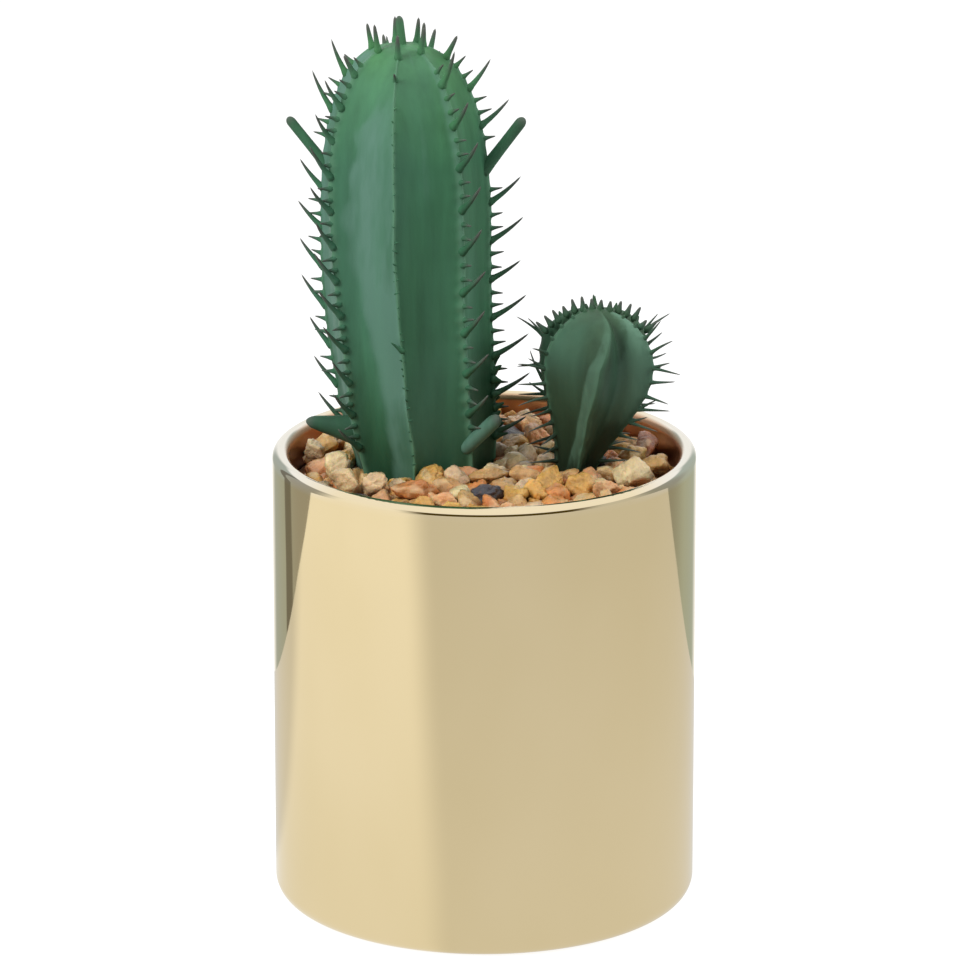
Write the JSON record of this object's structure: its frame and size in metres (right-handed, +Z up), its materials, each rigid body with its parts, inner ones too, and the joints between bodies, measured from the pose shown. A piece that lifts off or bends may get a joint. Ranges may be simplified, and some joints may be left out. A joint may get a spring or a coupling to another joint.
{
  "type": "potted cereus cactus",
  "caption": "Glazed cylinder pot of gravel that holds a tall ribbed spiny cactus column and a small club-shaped ribbed one.",
  "frame": {"origin": "on the pot's axis, on the surface that the pot stands on", "axes": "+Z up, -Y towards the viewer of the picture, +X to the right, with the tall stem at -X and the small one at +X"},
  "size_m": [0.075, 0.075, 0.1598],
  "materials": {
    "gold_glaze": "mirror-bright champagne gold glaze",
    "soil": "dry dark fill",
    "gravel": "glossy mixed tan, orange, off-white and grey stones",
    "tall_cactus": "satin moulded plastic, blue-green",
    "small_cactus": "satin moulded plastic, dark green"
  },
  "bodies": {
    "root": {"pot": "gold_glaze", "soil_fill": "soil", "gravel": "gravel", "tall_cactus": "tall_cactus", "small_cactus": "small_cactus"}
  },
  "joints": []
}
